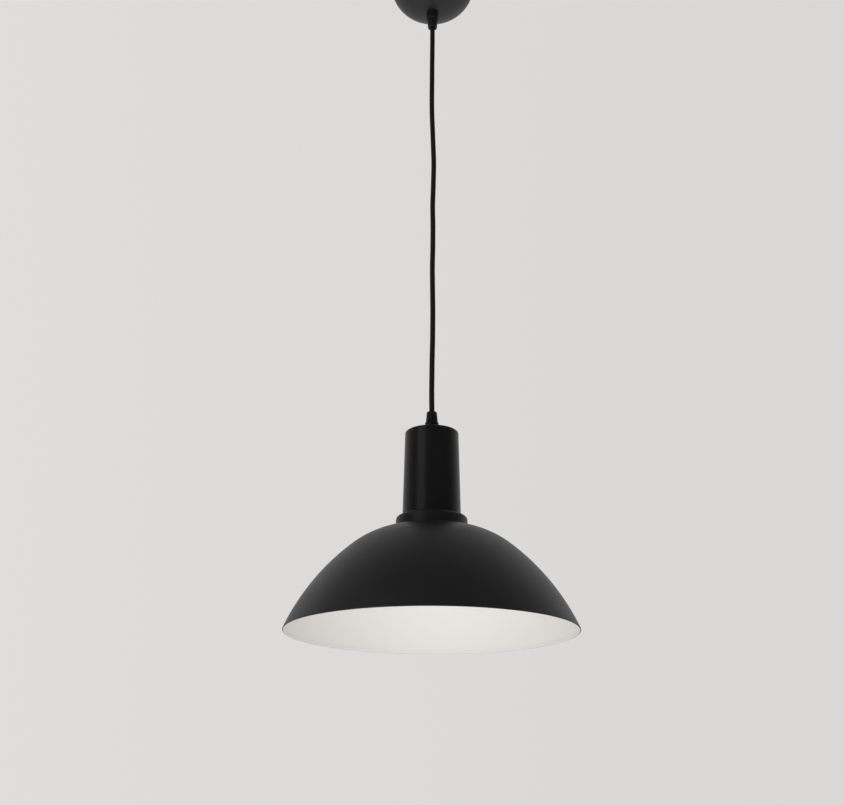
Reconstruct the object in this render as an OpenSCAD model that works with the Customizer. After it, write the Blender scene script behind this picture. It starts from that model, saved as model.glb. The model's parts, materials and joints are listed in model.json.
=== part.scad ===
// Pendant ceiling light: dome canopy, round flex, tapered socket cup, collar and
// a wide spun shade, with the lampholder and lamp inside.
// Millimetres. Origin: centre of the ceiling face. +Z is up, the light hangs to -Z.

/* [Canopy] */
// Diameter of the canopy at the ceiling
canopy_d = 120; // [116:1:126]
// Depth of the canopy below the ceiling
canopy_h = 50; // [48:1:56]
// Straight lip of the canopy at the ceiling
canopy_lip = 2; // [1:0.5:3]

/* [Cord] */
// Outer diameter of the round flex
cord_d = 6.8; // [6.4:0.1:7.2]
// Length of flex seen between the two cord grips
cord_len = 591; // [580:1:620]
// Number of flat sides that stand in for the round of the flex
cord_sides = 10; // [8:1:12]

/* [Cord grips] */
// Diameter of a grip's base
grip_base_d = 17.2; // [16:0.2:19]
// Height of a grip's base
grip_base_h = 13; // [12.5:0.5:15]
// Diameter of the clamping cap where it meets the base
grip_cap_d = 15; // [14.4:0.2:15.6]
// Diameter of the clamping cap at its nose
grip_nose_d = 13; // [12.4:0.2:13.8]
// Height of the clamping cap
grip_cap_h = 14; // [13.5:0.5:16]

/* [Socket cup] */
// Height of the cup
cup_h = 109; // [106:1:116]
// Diameter of the cup at its closed top
cup_top_d = 66.8; // [60:0.2:70]
// Diameter of the cup at its open foot
cup_foot_d = 71.4; // [66:0.2:76]
// Radius of the cup's top edge
cup_edge_r = 2.5; // [1.5:0.5:4]

/* [Collar] */
// Diameter of the collar
collar_d = 87.2; // [84:0.2:92]
// Height from the crown of the shade to the collar's top
collar_h = 14.2; // [12:0.2:16]
// Radius of the collar's top edge
collar_edge_r = 4.5; // [3:0.5:5]

/* [Shade] */
// Diameter of the shade at its rim
shade_d = 349; // [340:1:400]
// Sheet thickness of the shade, canopy and cup
sheet = 0.8; // [0.6:0.1:1.2]
// Thickness of the edge folded back inside the rim
hem_t = 1.4; // [1.3:0.1:1.8]
// Height of that folded edge
hem_h = 5; // [4:1:8]
// Radius of the long curve from the rim
flank_r = 267; // [255:1:280]
// Radius of the shoulder curve
shoulder_r = 111.5; // [105:0.5:116]
// Lean of the wall from upright at the rim, degrees
rim_lean = 23.8; // [22:0.2:26]
// Lean of the wall where the shoulder curve starts, degrees
shoulder_lean = 51; // [49:0.5:53]

/* [Lamp] */
// Diameter of the lamp's globe
lamp_d = 60; // [45:1:60]
// Overall length of the lamp
lamp_len = 104.5; // [100:0.5:110]

/* [Hidden] */
$fn = 96;
eps = 0.05;
arc_steps = 16;

// Heights, worked out from the ceiling down
z_pole = -canopy_h;
grip_h = grip_base_h + grip_cap_h;
z_nose = z_pole - grip_h;
z_low_nose = z_nose - cord_len;
z_cup_top = z_low_nose - grip_h;
z_cup_foot = z_cup_top - cup_h;
z_crown = z_cup_foot - collar_h;

// Swing pivots of the flex, just below the canopy's grip
z_side_pivot = z_nose - 9;
z_fore_pivot = z_side_pivot - 18;
cord_r = cord_d / 2;
pivot_gap = 0.05;

// Route of the flex below the lower pivot: it hangs taut with a slight set in it
cord_route = [
    [0, 0, z_fore_pivot], [-0.3, 0, -135], [-0.5, 0, -175], [-0.6, 0, -215],
    [0.6, 0, -255], [2, 0, -300], [1.6, 0, -335], [0.7, 0, -370],
    [1.1, 0, -405], [0.9, 0, -435], [0.4, 0, -470], [1, 0, -520],
    [0.9, 0, -560], [0.2, 0, -600], [-0.2, 0, -640], [0, 0, z_low_nose]];

// Threads: lamp thread M10 x 1, the holder's shade thread and the lamp cap's thread
tube_r = 4.95;
tube_bore_r = 4;
tapped_r = 5.05;
tube_hole_r = 5.2;
washer_r = 9;
washer_t = 1;
nut_t = 4;
skirt_crest_r = 19.7;
skirt_root_r = 19;
skirt_pitch = 2.5;
cap_crest_r = 13.05;
cap_root_r = 12.2;
shell_crest_r = 13.35;
cap_pitch = 3.629;

// Inside the canopy
bracket_t = 2;
bracket_w = 24;
ear_x = canopy_d / 2 - 4.7;
ear_w = 14;
ear_h = 14;
ear_screw_z = -9;
slot_spacing = 70;
slot_len = 14;
slot_w = 5;
block_y = 13;
block_l = 17;
pole_x = 5.5;
pole_z = -9;

// Inside the cup
shade_hole_r = 20.3;
z_skirt_foot = z_cup_foot - 22;
z_skirt_top = z_cup_foot + 12;
z_shoulder = z_cup_foot + 3;
z_core_foot = z_cup_foot + 5;
z_core_top = z_core_foot + 14;
z_cap_top = z_cup_foot + 38;
z_boss_top = z_cap_top + 9;
terminal_x = 9;
terminal_z = z_core_top + 4;
z_sheath_end = z_cap_top - 3;
z_lamp_tip = z_core_foot - 0.5;
z_lamp_rim = z_skirt_foot;

// Points of an arc about [cx, cz], from angle a0 to a1
function arc(cx, cz, r, a0, a1, n = arc_steps) =
    [for (i = [0 : n]) let (a = a0 + (a1 - a0) * i / n) [cx + r * cos(a), cz + r * sin(a)]];

// Points of one quarter of an ellipse hanging below z0, from the side to angle a1
function bowl(a, b, z0, a1, n = 28) =
    [for (i = [0 : n]) [a * cos(a1 * i / n), z0 - b * sin(a1 * i / n)]];

// Zigzag outline of a thread's rings, going up from z0
function rings(root, crest, z0, pitch, count) =
    [for (i = [0 : count - 1], k = [0 : 3])
        [k == 1 || k == 2 ? crest : root, z0 + pitch * (i + [0.05, 0.3, 0.6, 0.85][k])]];

function reversed(list) = [for (i = [len(list) - 1 : -1 : 0]) list[i]];

// Shade wall: two arcs that share a tangent, offset inwards by t, from angle a0 at its foot
hem_x = shade_d / 2 - hem_t / 2;
flank_x = hem_x - (flank_r - hem_t / 2) * cos(rim_lean);
shoulder_x = flank_x + (flank_r - shoulder_r) * cos(shoulder_lean);
flank_z = z_crown - shoulder_r - (flank_r - shoulder_r) * sin(shoulder_lean);
hem_z = flank_z + (flank_r - hem_t / 2) * sin(rim_lean);
hem_lean = rim_lean + hem_h / flank_r * 180 / PI;
function shade_curve(t, a0) = concat(
    arc(flank_x, flank_z, flank_r - t, a0, shoulder_lean, 24),
    arc(shoulder_x, z_crown - shoulder_r, shoulder_r - t, shoulder_lean, 90, 20));

// A smooth curve through hand-set points
function catmull(p0, p1, p2, p3, t) =
    0.5 * (2 * p1 + (p2 - p0) * t + (2 * p0 - 5 * p1 + 4 * p2 - p3) * t * t
    + (3 * p1 - p0 - 3 * p2 + p3) * t * t * t);
function smooth(p, n) = concat(
    [for (i = [0 : len(p) - 2], j = [0 : n - 1])
        catmull(p[max(i - 1, 0)], p[i], p[i + 1], p[min(i + 2, len(p) - 1)], j / n)],
    [p[len(p) - 1]]);

function unit(v) = v / norm(v);
function heading(p, i) = unit(p[min(i + 1, len(p) - 1)] - p[max(i - 1, 0)]);
// Direction across the path, carried along it so that the tube doesn't twist
function across(p, i, last) = let (t = heading(p, i)) unit(last - (last * t) * t);
function frames(p, i, last) = i == len(p) ? [] :
    let (u = across(p, i, last)) concat([u], frames(p, i + 1, u));

// Closed tube along a path; radii gives one radius for each point
module sweep(p, radii, sides, first = [0, 1, 0]) {
    n = len(p);
    side = frames(p, 0, first);
    points = [for (i = [0 : n - 1], k = [0 : sides - 1])
        let (u = side[i], v = cross(heading(p, i), u), a = 360 * k / sides)
        p[i] + radii[i] * (cos(a) * u + sin(a) * v)];
    walls = [for (i = [0 : n - 2], k = [0 : sides - 1]) let (m = (k + 1) % sides)
        [i * sides + k, (i + 1) * sides + k, (i + 1) * sides + m, i * sides + m]];
    polyhedron(points, concat(
        [[for (k = [0 : sides - 1]) k]], walls,
        [[for (k = [sides - 1 : -1 : 0]) (n - 1) * sides + k]]), convexity = 6);
}

module wire(points, r = 1.1) {
    path = smooth(points, 3);
    sweep(path, [for (q = path) r], 8);
}

module lathe(points) rotate_extrude() polygon(points);

module ring(r_in, r_out, z0, z1)
    translate([0, 0, z0])
        difference() {
            cylinder(r = r_out, h = z1 - z0);
            translate([0, 0, -1]) cylinder(r = r_in, h = z1 - z0 + 2);
        }

module hex_nut(z0, h)
    translate([0, 0, z0])
        difference() {
            cylinder(d = 14 / cos(30), h = h, $fn = 6);
            translate([0, 0, -1]) cylinder(r = tapped_r, h = h + 2);
        }

// Lamp tube: a hollow M10 x 1 rod, drawn with its thread as rings
module thread_tube(z0, z1) {
    count = floor(z1 - z0 - 1);
    difference() {
        lathe(concat([[0, z0], [tube_r - 0.5, z0]],
            rings(tube_r - 0.5, tube_r, z0 + 0.5, 1, count),
            [[tube_r - 0.5, z1], [0, z1]]));
        translate([0, 0, z0 - 1]) cylinder(r = tube_bore_r, h = z1 - z0 + 2);
    }
}

// ---- Cord grip, drawn upright with its base at z = 0 ----

spigot_r = 5.4;
spigot_h = 7;
collet_r = 4.1;

module grip_base_shape() {
    r = grip_base_d / 2;
    lathe(concat(
        [[tapped_r, 0], [r - 0.6, 0]], arc(r - 0.6, 0.6, 0.6, -90, 0, 6),
        arc(r - 0.8, grip_base_h - 0.8, 0.8, 0, 90, 6),
        [[spigot_r, grip_base_h], [spigot_r, grip_base_h + spigot_h - 0.4],
        [spigot_r - 0.4, grip_base_h + spigot_h], [collet_r + 0.15, grip_base_h + spigot_h],
        [collet_r + 0.15, grip_base_h - 1.5], [cord_r + 0.3, grip_base_h - 1.5],
        [cord_r + 0.3, 9.5], [tapped_r, 9.5]]));
}

module grip_cap_shape() {
    z0 = grip_base_h + 0.1;
    r0 = grip_cap_d / 2;
    r1 = grip_nose_d / 2;
    ribs = 20;
    difference() {
        lathe(concat(
            [[spigot_r + 0.15, z0], [r0 - 0.3, z0], [r0, z0 + 0.3], [r0 - 0.1, z0 + 3]],
            arc(r1 - 1, grip_h - 1, 1, 4, 90, 8),
            [[cord_r + 0.05, grip_h], [cord_r + 0.05, grip_h - 2],
            [collet_r + 0.25, grip_h - 5.5], [spigot_r + 0.15, grip_h - 6.2]]));
        for (i = [0 : ribs - 1])
            rotate(i * 360 / ribs)
                translate([r0 + 0.15, 0, z0 + 1.2]) cylinder(r = 0.45, h = 4.6, $fn = 16);
    }
}

module grip_collet_shape() {
    z0 = grip_base_h - 1.4;
    difference() {
        lathe([[cord_r + 0.02, z0], [collet_r, z0], [collet_r, grip_h - 5.8],
            [cord_r + 0.2, grip_h - 2.9], [cord_r + 0.02, grip_h - 2.9]]);
        for (a = [45, 135])
            rotate(a) translate([-6, -0.4, grip_h - 9]) cube([12, 0.8, 9]);
    }
}

// The canopy's grip is the same part, hung upside down
module under_canopy() translate([0, 0, z_pole]) mirror([0, 0, 1]) children();
module on_cup() translate([0, 0, z_cup_top]) children();

// ---- Canopy end ----

module ceiling_bracket()
    color("silver")
        difference() {
            union() {
                translate([-ear_x, -bracket_w / 2, -bracket_t])
                    cube([2 * ear_x, bracket_w, bracket_t]);
                translate([-11, bracket_w / 2 - 1, -bracket_t]) cube([22, 20, bracket_t]);
                for (s = [-1, 1])
                    translate([s > 0 ? ear_x - bracket_t : -ear_x, -ear_w / 2, -ear_h])
                        cube([bracket_t, ear_w, ear_h]);
            }
            for (s = [-1, 1]) {
                translate([s * slot_spacing / 2, 0, -bracket_t - 1])
                    linear_extrude(bracket_t + 2) {
                        square([slot_len - slot_w, slot_w], center = true);
                        for (e = [-1, 1])
                            translate([e * (slot_len - slot_w) / 2, 0]) circle(d = slot_w);
                    }
                translate([s * (ear_x - 5), 0, ear_screw_z])
                    rotate([0, 90, 0]) cylinder(r = 1.7, h = 14, center = true);
                for (e = [-1, 1])
                    translate([s * ear_x, e * bracket_w / 2, -bracket_t - 1])
                        rotate(45) cube([7, 7, 2 * bracket_t + 4], center = true);
            }
            translate([0, 0, -bracket_t - 1]) cylinder(r = 8, h = bracket_t + 2);
            translate([18, -6, -bracket_t - 1]) cylinder(r = 1.7, h = bracket_t + 2);
            translate([0, block_y + block_l / 2, -bracket_t - 1])
                cylinder(r = 1.3, h = bracket_t + 2);
        }

// Pan-head screw along +Z, its head's seat at z = 0 and its shank above
module pan_screw(shank_r, shank_h, head_r, head_h, slot = 0.8)
    difference() {
        union() {
            cylinder(r = shank_r, h = shank_h);
            rotate_extrude()
                intersection() {
                    translate([0, -head_h]) square([head_r, head_h]);
                    translate([0, head_r * 1.1 - head_h]) circle(r = head_r * 1.1);
                }
        }
        translate([-head_r - 1, -slot / 2, -head_h - 1])
            cube([2 * head_r + 2, slot, 1 + head_h * 0.45]);
    }

module bracket_earth_screw()
    color("gold") {
        translate([18, -6, -bracket_t - 1]) pan_screw(1.65, 2.8, 3.6, 2.4);
        translate([18, -6, 0]) ring(1.75, 4.2, -bracket_t - 0.95, -bracket_t - 0.05);
    }

module terminal_block()
    color("ivory")
        difference() {
            union() {
                translate([-11, block_y, -13]) cube([22, block_l, 10.9]);
                for (s = [-1, 1], y = [4.3, block_l - 4.3])
                    translate([s * pole_x, block_y + y, -15]) cylinder(r = 3.2, h = 6);
            }
            for (s = [-1, 1]) {
                translate([s * pole_x, block_y - 1, pole_z])
                    rotate([-90, 0, 0]) cylinder(r = 1.8, h = block_l + 2);
                translate([s * pole_x, block_y + 1.6, pole_z])
                    rotate([-90, 0, 0]) cylinder(r = 2.7, h = block_l - 3.2);
                for (y = [4.3, block_l - 4.3])
                    translate([s * pole_x, block_y + y, -16]) cylinder(r = 1.9, h = 6.5);
            }
            translate([0, block_y + block_l / 2, -14]) cylinder(r = 1.7, h = 14);
        }

module terminal_inserts()
    color("goldenrod")
        for (s = [-1, 1])
            difference() {
                translate([s * pole_x, block_y + 1.7, pole_z])
                    rotate([-90, 0, 0]) cylinder(r = 2.6, h = block_l - 3.4);
                translate([s * pole_x, block_y, pole_z])
                    rotate([-90, 0, 0]) cylinder(r = 1.5, h = block_l);
                for (y = [4.3, block_l - 4.3])
                    translate([s * pole_x, block_y + y, pole_z - 4]) cylinder(r = 1.35, h = 4);
            }

module terminal_screws()
    color("silver")
        for (s = [-1, 1], y = [4.3, block_l - 4.3])
            translate([s * pole_x, block_y + y, -14])
                difference() {
                    union() {
                        cylinder(r = 1.7, h = 1.8);
                        cylinder(r = 1.25, h = 3.2);
                    }
                    translate([-2, -0.3, -1]) cube([4, 0.6, 1.8]);
                }

module terminal_block_screw()
    color("silver")
        translate([0, block_y + block_l / 2, -13.05]) pan_screw(1.25, 12.6, 2.3, 1.7);

module canopy() {
    a = canopy_d / 2;
    b = (canopy_h - canopy_lip) / sin(acos(9 / a));
    color("dimgray")
        difference() {
            lathe(concat(
                [[a - sheet, 0], [a, 0]],
                bowl(a, b, -canopy_lip, acos(9 / a)),
                [[tube_hole_r, z_pole], [tube_hole_r, z_pole + sheet]],
                reversed(bowl(a - sheet, b - sheet, -canopy_lip, acos(9 / a)))));
            for (s = [-1, 1])
                translate([s * a, 0, ear_screw_z])
                    rotate([0, 90, 0]) cylinder(r = 2.2, h = 10, center = true);
        }
}

module canopy_screws()
    color("dimgray")
        for (s = [-1, 1])
            translate([s * (canopy_d / 2 - 0.05), 0, ear_screw_z])
                rotate([0, -90 * s, 0]) pan_screw(1.65, 9, 3.8, 2.6, 0.9);

module canopy_nipple() color("gainsboro") thread_tube(z_pole - 9, z_pole + 9);
module canopy_nut() color("silver") hex_nut(z_pole + sheet + washer_t + 2 * eps, nut_t);
module canopy_washer()
    color("silver")
        ring(tube_hole_r, washer_r, z_pole + sheet + eps, z_pole + sheet + eps + washer_t);
module canopy_grip_base() color("black") under_canopy() grip_base_shape();
module canopy_grip_cap() color("black") under_canopy() grip_cap_shape();
module canopy_grip_collet() color("white") under_canopy() grip_collet_shape();

module cord_head() {
    color("black")
        translate([0, 0, z_side_pivot + cord_r + pivot_gap])
            cylinder(r = cord_r, h = -34 - z_side_pivot - cord_r - pivot_gap);
}

module upper_live_wire()
    color("saddlebrown")
        wire([[-1.6, 0, -33.7], [-1.6, 0, -32], [-1.8, -0.5, -28], [-4, -2, -20], [-6, 1, -12],
            [-5.5, 7, -9], [-5.5, 14.5, -9]]);

module upper_neutral_wire()
    color("royalblue")
        wire([[1.6, 0, -33.7], [1.6, 0, -32], [1.8, -0.5, -28], [4, -2, -20], [6, 1, -12],
            [5.5, 7, -9], [5.5, 14.5, -9]]);

module upper_earth_wire()
    color("olivedrab")
        wire([[0, -1.7, -33.7], [0, -1.7, -32], [0.5, -3.5, -27], [4, -8, -19], [10, -11, -12],
            [15, -9.5, -8], [17.5, -6.8, -6.6]]);

// ---- Flex ----

// Short stretch between the two swing pivots, with a round end on its pivot
module cord_bend()
    color("black") {
        translate([0, 0, z_side_pivot]) sphere(r = cord_r);
        translate([0, 0, z_fore_pivot + cord_r + pivot_gap])
            cylinder(r = cord_r, h = z_side_pivot - z_fore_pivot - cord_r - pivot_gap);
    }

module cord() {
    path = smooth(cord_route, 3);
    start = [0, 0, z_fore_pivot];
    dome = [for (a = [75, 50, 25]) start + [0, 0, cord_r * sin(a)]];
    dome_r = [for (a = [75, 50, 25]) cord_r * cos(a)];
    color("black")
        sweep(concat(dome, path), concat(dome_r, [for (q = path) cord_r]), cord_sides);
}

module cord_tail()
    color("black")
        translate([0, 0, z_sheath_end]) cylinder(r = cord_r, h = z_low_nose - z_sheath_end);

module cup_grip_base() color("black") on_cup() grip_base_shape();
module cup_grip_cap() color("black") on_cup() grip_cap_shape();
module cup_grip_collet() color("white") on_cup() grip_collet_shape();
module lamp_tube() color("gainsboro") thread_tube(z_cap_top + 1, z_cup_top + 9);
module cup_washer()
    color("silver")
        ring(tube_hole_r, washer_r, z_cup_top - sheet - eps - washer_t, z_cup_top - sheet - eps);
module cup_nut()
    color("silver") hex_nut(z_cup_top - sheet - washer_t - 2 * eps - nut_t, nut_t);

// ---- Cup, collar and shade ----

module cup() {
    rt = cup_top_d / 2;
    rf = cup_foot_d / 2;
    e = cup_edge_r;
    color("#1c1c1e")
        lathe(concat(
            [[rf - sheet, z_cup_foot + eps], [rf, z_cup_foot + eps]],
            arc(rt - e, z_cup_top - e, e, 1, 90, 8),
            [[tube_hole_r, z_cup_top], [tube_hole_r, z_cup_top - sheet]],
            reversed(arc(rt - e, z_cup_top - e, e - sheet, 1, 90, 8))));
}

module collar() {
    r = collar_d / 2;
    e = collar_edge_r;
    z_foot = z_crown - 0.8;
    color("#1c1c1e")
        lathe(concat(
            [[r - sheet, z_foot], [r, z_foot]],
            arc(r - e, z_cup_foot - e, e, 0, 90, 10),
            [[shade_hole_r, z_cup_foot], [shade_hole_r, z_cup_foot - sheet]],
            reversed(arc(r - e, z_cup_foot - e, e - sheet, 0, 90, 10))));
}

module shade()
    color("#202022")
        rotate_extrude()
            polygon(concat(
                shade_curve(0, rim_lean),
                [[shade_hole_r, z_crown], [shade_hole_r, z_crown - sheet]],
                reversed(shade_curve(sheet, hem_lean)),
                arc(flank_x, flank_z, flank_r - hem_t, hem_lean - 0.1, rim_lean, 4),
                arc(hem_x, hem_z, hem_t / 2, rim_lean - 170, rim_lean - 10)));

module shade_ring() {
    z1 = z_crown - sheet - eps;
    notches = 12;
    color("#26262a")
        difference() {
            lathe([[skirt_crest_r + 0.15, z1], [27, z1], [27, z1 - 2.4], [23.5, z1 - 3],
                [23.5, z1 - 6.4], [22.9, z1 - 7], [skirt_crest_r + 0.15, z1 - 7]]);
            for (i = [0 : notches - 1])
                rotate(i * 360 / notches)
                    translate([24.4, 0, z1 - 8]) cylinder(r = 1.6, h = 5, $fn = 24);
        }
}

// ---- Lampholder ----

module holder_skirt()
    color("#2a2a2c")
        lathe(concat(
            [[14.8, z_skirt_foot], [skirt_root_r, z_skirt_foot]],
            rings(skirt_root_r, skirt_crest_r, z_skirt_foot, skirt_pitch, 8),
            [[skirt_root_r, z_cup_foot + eps], [21.5, z_cup_foot + eps], [21.5, z_shoulder],
            [skirt_root_r, z_shoulder], [skirt_root_r, z_skirt_top], [17.4, z_skirt_top],
            [17.4, z_skirt_foot + 1.6], [14.8, z_skirt_foot + 1.6]]));

module holder_cap()
    color("#2a2a2c")
        difference() {
            lathe(concat(
                [[19.2, z_shoulder + 0.1], [21.5, z_shoulder + 0.1]],
                arc(13.5, z_cap_top - 8, 8, 0, 90, 10),
                [[8.5, z_cap_top], [8.5, z_boss_top - 0.6], [7.9, z_boss_top],
                [tapped_r, z_boss_top], [tapped_r, z_cap_top - 1.8], [12.5, z_cap_top - 1.8]],
                reversed(arc(12.5, z_cap_top - 8.5, 6.7, 0, 80, 10))));
            translate([4, 0, z_cap_top + 4.5]) rotate([0, 90, 0]) cylinder(r = 1.3, h = 8);
            translate([0, 16, terminal_z + 2]) rotate([-90, 0, 0]) cylinder(r = 1.3, h = 8);
        }

module holder_set_screw()
    color("silver")
        translate([5.1, 0, z_cap_top + 4.5])
            rotate([0, 90, 0])
                difference() {
                    cylinder(r = 1.25, h = 4.4);
                    translate([-2, -0.25, 3.6]) cube([4, 0.5, 2]);
                }

module holder_core()
    color("whitesmoke")
        difference() {
            lathe([[0, z_core_foot], [17.1, z_core_foot], [17.1, z_skirt_top + 0.1],
                [18.9, z_skirt_top + 0.1], [18.9, z_skirt_top + 3.5], [17.1, z_skirt_top + 4.5],
                [17.1, z_core_top - 0.8], [16.3, z_core_top], [0, z_core_top]]);
            for (s = [-1, 1])
                translate([s * terminal_x, 0, z_core_foot - 1]) cylinder(r = 1.6, h = 16);
            translate([-12.5, -3.6, z_core_foot - 1]) cube([16, 7.2, 3.7]);
        }

module screw_shell() {
    z0 = z_skirt_foot + 2;
    z1 = z_core_foot - eps;
    groove = 0.7;
    wall = 0.6;
    color("goldenrod")
        lathe(concat(
            [[8, z1], [8, z1 - 0.6], [shell_crest_r, z1 - 0.6]],
            reversed(rings(shell_crest_r, shell_crest_r + groove, z0 + 1, cap_pitch, 5)),
            [[shell_crest_r, z0], [shell_crest_r + groove + wall, z0],
            [shell_crest_r + groove + wall, z1]]));
}

// Spring leaf that presses on the lamp's tip
module centre_contact() {
    z1 = z_core_foot + 2.5;
    t = 0.5;
    low = z_lamp_tip + 0.3;
    color("gold")
        translate([0, 2.5, 0])
            rotate([90, 0, 0])
                linear_extrude(5)
                    polygon([[-11.5, z1], [-11.5, z1 - t], [-5, z1 - t], [-1.6, low], [1.6, low],
                        [2.4, low + 0.9], [2, low + 1.2], [1.3, low + t], [-1.3, low + t],
                        [-4.8, z1]]);
}

module contact_rivets()
    color("goldenrod")
        for (s = [-1, 1])
            translate([s * terminal_x, 0, s < 0 ? z_core_foot + 2.55 : z_core_foot])
                cylinder(r = 1.5, h = s < 0 ? 11.4 : 13.95);

module holder_terminals()
    color("goldenrod")
        for (s = [-1, 1])
            difference() {
                translate([s * terminal_x - 3, -3.5, z_core_top]) cube([6, 7, 8]);
                translate([s * terminal_x, -5, terminal_z])
                    rotate([-90, 0, 0]) cylinder(r = 1.5, h = 10);
                translate([s * terminal_x, 0, terminal_z]) cylinder(r = 1.3, h = 6);
            }

module holder_terminal_screws()
    color("silver")
        for (s = [-1, 1])
            translate([s * terminal_x, 0, z_core_top + 8.05])
                mirror([0, 0, 1]) pan_screw(1.2, 3.4, 2.1, 1.3, 0.6);

module holder_earth_screw()
    color("silver")
        translate([0, 18.9, terminal_z + 2]) rotate([-90, 0, 0]) pan_screw(1.2, 4.4, 2.6, 1.8, 0.6);

module lower_live_wire()
    color("saddlebrown")
        wire([[-1.5, -0.4, z_sheath_end - 0.3], [-1.5, -0.4, z_sheath_end - 1.2],
            [-2.2, -1.6, z_sheath_end - 2.7], [-5.5, -5.4, z_sheath_end - 5.5],
            [-8.6, -7.6, z_sheath_end - 9.5],
            [-9, -6, terminal_z], [-9, -2.6, terminal_z]], 0.95);

module lower_neutral_wire()
    color("royalblue")
        wire([[1.5, -0.4, z_sheath_end - 0.3], [1.5, -0.4, z_sheath_end - 1.2],
            [2.2, -1.6, z_sheath_end - 2.7], [5.5, -5.4, z_sheath_end - 5.5],
            [8.6, -7.6, z_sheath_end - 9.5],
            [9, -6, terminal_z], [9, -2.6, terminal_z]], 0.95);

module lower_earth_wire()
    color("olivedrab")
        wire([[0, 1.6, z_sheath_end - 0.3], [0, 1.6, z_sheath_end - 1.2], [0, 3.2, z_sheath_end - 3.2],
            [0, 8, z_sheath_end - 6.5], [0, 13, terminal_z + 2.6],
            [0, 17, terminal_z + 2]], 0.95);

// ---- Lamp ----

module lamp_contact()
    color("silver")
        lathe([[0, z_lamp_tip - 1.2], [4.4, z_lamp_tip - 1.2], [4.4, z_lamp_tip - 0.8],
            [3, z_lamp_tip - 0.1], [0, z_lamp_tip]]);

module lamp_insulator()
    color("#101014")
        lathe([[0, z_lamp_tip - 4.4], [10.6, z_lamp_tip - 4.4], [9.6, z_lamp_tip - 3.4],
            [5.2, z_lamp_tip - 1.25], [0, z_lamp_tip - 1.25]]);

module lamp_cap() {
    z1 = z_lamp_tip - 4.45;
    wall = 0.4;
    color("gainsboro")
        lathe(concat(
            [[13, z_lamp_rim], [13.2 + eps, z_lamp_rim + 1]],
            rings(cap_root_r, cap_crest_r, z_lamp_rim + 1.2, cap_pitch, 5),
            [[cap_root_r, z1 - 1.6], [10.6, z1], [9, z1], [9, z1 - wall],
            [10.4, z1 - wall], [cap_root_r - wall, z1 - 1.8], [cap_root_r - wall, z_lamp_rim]]));
}

module lamp_globe() {
    r = lamp_d / 2;
    wall = 0.9;
    zc = z_lamp_tip - lamp_len + r;
    neck_r = 13;
    z_neck = z_lamp_rim - 0.1;
    flare_a = 38;
    flare = [r * cos(flare_a), zc + r * sin(flare_a)];
    function side(t) = [for (i = [0 : 14]) let (u = i / 14, v = 1 - u)
        [v * v * v * neck_r + 3 * v * v * u * neck_r + 3 * v * u * u * (flare[0] - 6 * sin(flare_a))
            + u * u * u * flare[0] - t,
        v * v * v * z_neck + 3 * v * v * u * (z_neck - 9) + 3 * v * u * u
            * (flare[1] + 6 * cos(flare_a)) + u * u * u * flare[1] - t * u * 0.3]];
    color("white", 0.9)
        lathe(concat([[0, z_neck], [neck_r - 1.4, z_neck]], side(0),
            arc(0, zc, r, flare_a, -90, 30),
            reversed(arc(0, zc, r - wall, flare_a, -90, 30)),
            reversed(side(wall)), [[0, z_neck - 1.5]]));
}

ceiling_bracket();
bracket_earth_screw();
terminal_block();
terminal_inserts();
terminal_screws();
terminal_block_screw();
canopy();
canopy_screws();
canopy_nipple();
canopy_nut();
canopy_washer();
canopy_grip_base();
canopy_grip_cap();
canopy_grip_collet();
cord_head();
upper_live_wire();
upper_neutral_wire();
upper_earth_wire();
cord_bend();
cord();
cord_tail();
cup_grip_base();
cup_grip_cap();
cup_grip_collet();
lamp_tube();
cup_washer();
cup_nut();
cup();
collar();
shade();
shade_ring();
holder_skirt();
holder_cap();
holder_set_screw();
holder_core();
screw_shell();
centre_contact();
contact_rivets();
holder_terminals();
holder_terminal_screws();
holder_earth_screw();
lower_live_wire();
lower_neutral_wire();
lower_earth_wire();
lamp_contact();
lamp_insulator();
lamp_cap();
lamp_globe();
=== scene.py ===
"""Pendant ceiling light: dome canopy, round flex, socket cup, collar and a wide spun shade.

Outlines are in millimetres, as (radius, height) points with the ceiling at height 0.
"""
import json
import math

import bmesh
import bpy
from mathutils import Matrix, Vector


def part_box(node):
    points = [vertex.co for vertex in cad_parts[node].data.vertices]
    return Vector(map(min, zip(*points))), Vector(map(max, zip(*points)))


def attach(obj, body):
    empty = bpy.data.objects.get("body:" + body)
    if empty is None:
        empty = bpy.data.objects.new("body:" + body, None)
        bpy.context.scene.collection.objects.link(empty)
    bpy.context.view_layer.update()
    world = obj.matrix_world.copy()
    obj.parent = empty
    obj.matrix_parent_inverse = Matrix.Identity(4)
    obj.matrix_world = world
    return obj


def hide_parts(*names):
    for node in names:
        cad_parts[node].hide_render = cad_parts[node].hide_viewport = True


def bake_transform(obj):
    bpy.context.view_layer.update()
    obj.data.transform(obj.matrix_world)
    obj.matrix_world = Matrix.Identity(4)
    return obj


MM = 0.001
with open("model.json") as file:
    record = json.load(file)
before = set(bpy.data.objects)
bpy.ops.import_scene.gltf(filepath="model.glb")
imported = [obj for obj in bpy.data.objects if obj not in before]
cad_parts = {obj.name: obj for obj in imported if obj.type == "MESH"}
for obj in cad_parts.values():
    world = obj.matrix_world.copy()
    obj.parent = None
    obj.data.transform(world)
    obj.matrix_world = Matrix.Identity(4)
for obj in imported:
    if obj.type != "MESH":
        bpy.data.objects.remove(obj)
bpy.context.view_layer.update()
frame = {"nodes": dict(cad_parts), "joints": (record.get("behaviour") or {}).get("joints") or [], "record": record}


def foot(node):
    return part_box(node)[0].z / MM


def top(node):
    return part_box(node)[1].z / MM


def half_width(node):
    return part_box(node)[1].x / MM


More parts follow.
